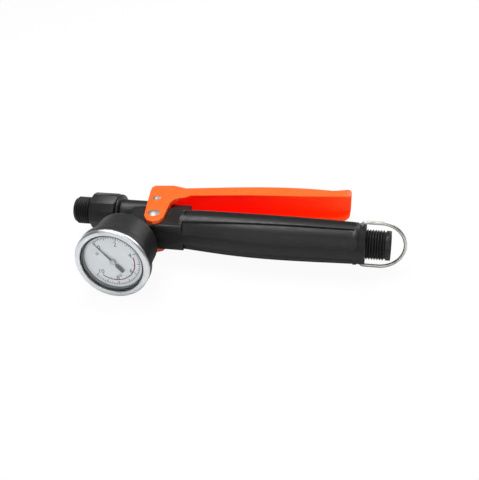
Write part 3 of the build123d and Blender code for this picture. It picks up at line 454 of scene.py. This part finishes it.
def dial_print():
    ink_y = dial_front - INK_LIFT
    scale_radius = dial_radius - SCALE_INSET
    ticks = []
    for step in range(DIVISIONS + 1):
        long_tick = step % 5 == 0
        reach = 2.6 * MM if step % 10 == 0 else 2.0 * MM if long_tick else 1.2 * MM
        width = 0.5 * MM if long_tick else 0.34 * MM
        ticks.append(tick(scale_angle(step / DIVISIONS), scale_radius - reach, scale_radius, width))
    flat_print("dial_scale_ticks", ticks, INK_HEIGHT, ink_black, ink_y)
    line = arc_band(scale_radius - 0.2 * MM, scale_radius + 0.05 * MM, pointer_angle,
                    pointer_angle - SCALE_SWEEP, 90)
    flat_print("dial_scale_line", line, INK_HEIGHT, ink_black, ink_y)
    for step in range(NUMBER_COUNT):
        number = NUMBER_STEP * step
        numeral(str(number), dial_radius - NUMBER_INSET, scale_angle(step / (NUMBER_COUNT - 1)),
                f"dial_number_{number}")
    band_outer = dial_radius - BAND_INSET
    band = arc_band(band_outer - 0.7 * MM, band_outer, BAND_START, BAND_START - BAND_SWEEP, 48)
    flat_print("dial_crimson_band", band, 0.06 * MM, ink_crimson, ink_y - 0.02 * MM)
    inner = [tick(BAND_START - BAND_SWEEP * share / BAND_DIVISIONS, band_outer - 2.0 * MM,
                  band_outer - 0.6 * MM, 0.22 * MM)
             for share in range(BAND_DIVISIONS + 1)]
    flat_print("dial_crimson_ticks", inner, INK_HEIGHT, ink_crimson, ink_y)


def gauge_bezel():
    """Snap-on rim: a bright rolled front edge, and a straight black skirt behind it."""
    front, back = bezel_low.y, bezel_high.y
    radius = (bezel_high.z - bezel_low.z) / 2
    bore = (lens_high.z - lens_low.z) / 2 + 0.02 * MM
    lip = lens_low.y
    profile = [
        (lip, BEZEL_MOUTH_R), (front + 0.35 * MM, BEZEL_MOUTH_R + 0.1 * MM),
        (front, BEZEL_MOUTH_R + 0.8 * MM),
    ]
    for step in range(1, 9):
        angle = step / 8 * math.pi / 2
        profile.append((front + BEZEL_ROLL_R * (1 - math.cos(angle)),
                        radius - BEZEL_ROLL_R * (1 - math.sin(angle))))
    split = front + BEZEL_RIM_WIDTH
    profile += [(split, radius), (split, bore), (lip, bore)]
    rim = ring_profile(profile, (gauge_x, 0, 0), (0, 1, 0), 160)
    finish_piece(rim, "gauge_bezel_rim", "handle", bezel_metal, ["gauge_bezel"], 40)
    start = split + 0.02 * MM
    inset = 0.35 * MM
    profile = [
        (start, bore), (start, radius - inset), (split + inset, radius), (back - 0.7 * MM, radius),
        (back - 0.2 * MM, radius - 0.2 * MM), (back, radius - 0.7 * MM), (back, bore),
    ]
    skirt = ring_profile(profile, (gauge_x, 0, 0), (0, 1, 0), 160)
    finish_piece(skirt, "gauge_bezel_skirt", "handle", case_black, ["gauge_bezel"], 40)


def gauge_pointer():
    """Tapered pressed pointer with a broad tail and a domed brass-grey hub."""
    low_y = pointer_low.y
    blade_y = low_y + 0.7 * MM
    blade_thick = 0.4 * MM
    length = pointer_tip.length
    tail = 0.52 * length
    half = [(length, 0.1), (3.0 * MM, 0.62), (-3.0 * MM, 0.7), (-3.6 * MM, 1.5), (-tail + 0.6 * MM, 1.6),
            (-tail, 1.1)]
    outline = [(along, width * MM) for along, width in half]
    outline += [(along, -width) for along, width in reversed(outline)]
    turn = math.radians(pointer_angle)
    corners = [Vector((gauge_x + along * math.cos(turn) - across * math.sin(turn), 0,
                       along * math.sin(turn) + across * math.cos(turn))) for along, across in outline]
    mesh = bpy.data.meshes.new("gauge_pointer")
    middle_y = blade_y + blade_thick / 2
    mesh.from_pydata([(corner.x, middle_y, corner.z) for corner in corners], [], [range(len(corners))])
    blade = bpy.data.objects.new("gauge_pointer", mesh)
    bpy.context.scene.collection.objects.link(blade)
    apply_modifier(blade, "SOLIDIFY", thickness=blade_thick, offset=0)
    face_outwards(blade)
    round_edges(blade, 0.08 * MM, 2, 40)
    finish_piece(blade, "gauge_pointer_blade", "pointer", pointer_black, ["pointer"], 40)
    hub = 2.2 * MM
    dome = [(blade_thick, 0), (blade_thick, hub), (0, hub), (-0.35 * MM, hub - 0.15 * MM),
            (-0.6 * MM, hub - 0.7 * MM), (-0.7 * MM, hub - 1.4 * MM), (-0.7 * MM, 0)]
    cap = ring_profile(dome, (gauge_x, blade_y, 0), (0, 1, 0), 48)
    finish_piece(cap, "gauge_pointer_hub", "pointer", spring_metal, (), 40)


grip_finish()
adapter_finish()
lever_finish()
gauge_bezel()
gauge_pointer()
dial_print()


# ---------------------------------------------------------------- floor, lights and camera
def resting_floor():
    """Pale floor under the three points that the handle lies on."""
    loop_low, loop_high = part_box("lock_loop")
    lever_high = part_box("lever")[1]
    rim = Vector((gauge_x, bezel_high.y, bezel_low.z))
    loop = Vector((loop_high.x - (loop_high.z - loop_low.z) / 2, 0, loop_low.z))
    tip = Vector((lever_high.x, lever_high.y, LEVER_TIP_LOW_Z))
    normal = (loop - rim).cross(tip - rim).normalized()
    if normal.z < 0:
        normal.negate()
    bpy.ops.mesh.primitive_plane_add(size=8)
    floor = bpy.context.object
    floor.name = "floor"
    floor.data.transform(normal.to_track_quat("Z", "Y").to_matrix().to_4x4())
    floor.data.transform(Matrix.Translation(rim - normal * 0.2 * MM))
    material = bpy.data.materials.new("pale_floor")
    material.use_nodes = True
    nodes, links = material.node_tree.nodes, material.node_tree.links
    diffuse = nodes["Principled BSDF"]
    diffuse.inputs["Base Color"].default_value = (0.80, 0.80, 0.80, 1)
    diffuse.inputs["Roughness"].default_value = 0.9
    glow = nodes.new("ShaderNodeEmission")
    glow.inputs["Strength"].default_value = 1.0
    path = nodes.new("ShaderNodeLightPath")
    seen = nodes.new("ShaderNodeMath")
    seen.operation = "MAXIMUM"
    share = nodes.new("ShaderNodeMath")
    share.operation = "MULTIPLY"
    share.inputs[1].default_value = FLOOR_GLOW
    mix = nodes.new("ShaderNodeMixShader")
    links.new(path.outputs["Is Camera Ray"], seen.inputs[0])
    links.new(path.outputs["Is Transmission Ray"], seen.inputs[1])
    links.new(seen.outputs[0], share.inputs[0])
    links.new(share.outputs[0], mix.inputs["Fac"])
    links.new(diffuse.outputs["BSDF"], mix.inputs[1])
    links.new(glow.outputs["Emission"], mix.inputs[2])
    links.new(mix.outputs["Shader"], nodes["Material Output"].inputs["Surface"])
    floor.data.materials.append(material)


def area_light(name, place, aim, size, power):
    data = bpy.data.lights.new(name, "AREA")
    data.shape = "DISK"
    data.size = size
    data.energy = power
    lamp = bpy.data.objects.new(name, data)
    lamp.location = place
    direction = Vector(aim) - Vector(place)
    lamp.rotation_euler = direction.to_track_quat("-Z", "Y").to_euler()
    bpy.context.scene.collection.objects.link(lamp)


def studio():
    """Soft light from above; metal and plastic reflect a room that is dark low down and bright overhead."""
    world = bpy.data.worlds.new("studio")
    bpy.context.scene.world = world
    world.use_nodes = True
    nodes, links = world.node_tree.nodes, world.node_tree.links
    ambient = nodes["Background"]
    ambient.inputs["Strength"].default_value = 0.34
    white = nodes.new("ShaderNodeBackground")
    white.inputs["Strength"].default_value = 1.0
    direction = nodes.new("ShaderNodeTexCoord")
    split = nodes.new("ShaderNodeSeparateXYZ")
    links.new(direction.outputs["Generated"], split.inputs["Vector"])
    height = nodes.new("ShaderNodeMapRange")
    height.inputs["From Min"].default_value = -1
    links.new(split.outputs["Z"], height.inputs["Value"])
    room = nodes.new("ShaderNodeValToRGB")
    stops = room.color_ramp.elements
    stops[0].position, stops[0].color = 0.0, (0.05, 0.055, 0.06, 1)
    stops[1].position, stops[1].color = 1.0, (1.0, 1.0, 1.0, 1)
    for position, level in ((0.45, 0.10), (0.56, 0.85), (0.66, 0.22), (0.80, 0.95)):
        stop = stops.new(position)
        stop.color = (level, level, level, 1)
    links.new(height.outputs["Result"], room.inputs["Fac"])
    links.new(room.outputs["Color"], ambient.inputs["Color"])
    path = nodes.new("ShaderNodeLightPath")
    mix = nodes.new("ShaderNodeMixShader")
    links.new(path.outputs["Is Camera Ray"], mix.inputs["Fac"])
    links.new(ambient.outputs["Background"], mix.inputs[1])
    links.new(white.outputs["Background"], mix.inputs[2])
    links.new(mix.outputs["Shader"], nodes["World Output"].inputs["Surface"])
    middle = (-0.11, 0.01, 0)
    area_light("key", (-0.30, 0.10, 0.80), middle, 0.5, 6.5)
    area_light("back", (0.25, 0.50, 0.45), middle, 0.4, 2.2)
    area_light("fill", (-0.15, -0.85, 0.45), middle, 1.0, 3.8)
    bpy.context.scene.view_settings.view_transform = "Standard"


def place_camera():
    azimuth, elevation, roll = (math.radians(a) for a in CAMERA_ANGLES)
    forward = Vector((math.sin(azimuth) * math.cos(elevation), math.cos(azimuth) * math.cos(elevation),
                      -math.sin(elevation)))
    level_right = Vector((math.cos(azimuth), -math.sin(azimuth), 0))
    level_up = level_right.cross(forward)
    right = math.cos(roll) * level_right + math.sin(roll) * level_up
    up = math.cos(roll) * level_up - math.sin(roll) * level_right
    turn = Matrix((right, up, -forward)).transposed().to_4x4()
    data = bpy.data.cameras.new("camera")
    data.sensor_width = SENSOR_WIDTH
    data.lens = CAMERA_LENS
    data.clip_start = 0.01
    camera = bpy.data.objects.new("camera", data)
    camera.matrix_world = Matrix.Translation(CAMERA_PLACE) @ turn
    bpy.context.scene.collection.objects.link(camera)
    bpy.context.scene.camera = camera


resting_floor()
studio()
place_camera()

clear_selection()
